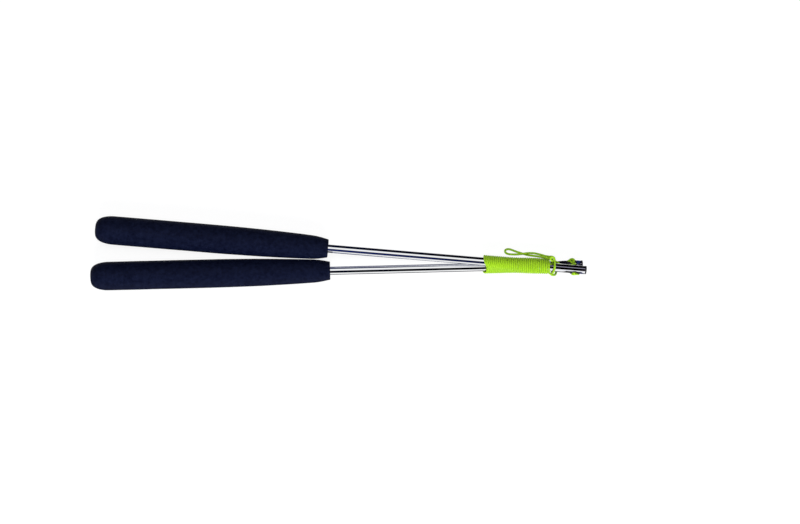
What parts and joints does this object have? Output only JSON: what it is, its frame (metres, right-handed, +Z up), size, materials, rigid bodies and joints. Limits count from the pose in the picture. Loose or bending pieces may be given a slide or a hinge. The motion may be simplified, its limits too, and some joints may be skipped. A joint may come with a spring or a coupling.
{
  "type": "diabolo hand sticks",
  "caption": "Pair of juggling hand sticks with long foam grips on thin metal tubes, crossed near their tips and bound together by their own braided string.",
  "frame": {"origin": "on the surface the sticks lie on, under the middle of the box round the sticks without their string", "axes": "+X along the bisector of the two sticks towards their tips, +Z up, +Y to the side on which stick A's grip lies"},
  "size_m": [0.3518, 0.0527, 0.0224],
  "materials": {
    "foam_grip": "closed-cell foam rubber, near-black navy, matt with a fine ground skin",
    "polished_tube": "polished drawn aluminium tube",
    "black_plastic": "moulded black plastic, satin",
    "black_nylon": "moulded black nylon, slight gloss",
    "braided_string": "braided polyester, lime green"
  },
  "bodies": {
    "stick_a": {"tube_a": "polished_tube", "grip_a": "foam_grip", "butt_plug_a": "black_plastic", "tip_plug_a": "black_plastic", "eyelet_a": "black_nylon", "string_winding": "braided_string", "string_loop": "braided_string", "string_lead": "braided_string", "string_knot_a": "braided_string"},
    "stick_b": {"tube_b": "polished_tube", "grip_b": "foam_grip", "butt_plug_b": "black_plastic", "tip_plug_b": "black_plastic", "eyelet_b": "black_nylon", "string_knot_b": "braided_string"}
  },
  "joints": [
    {"name": "stick_spread", "type": "hinge", "parent": "stick_a", "child": "stick_b", "pos_m": [0.13805, 0, 0.0082], "axis": [0, 0, 1], "range_deg": [0, 4], "deforming": ["string_winding", "string_loop", "string_lead"]}
  ]
}
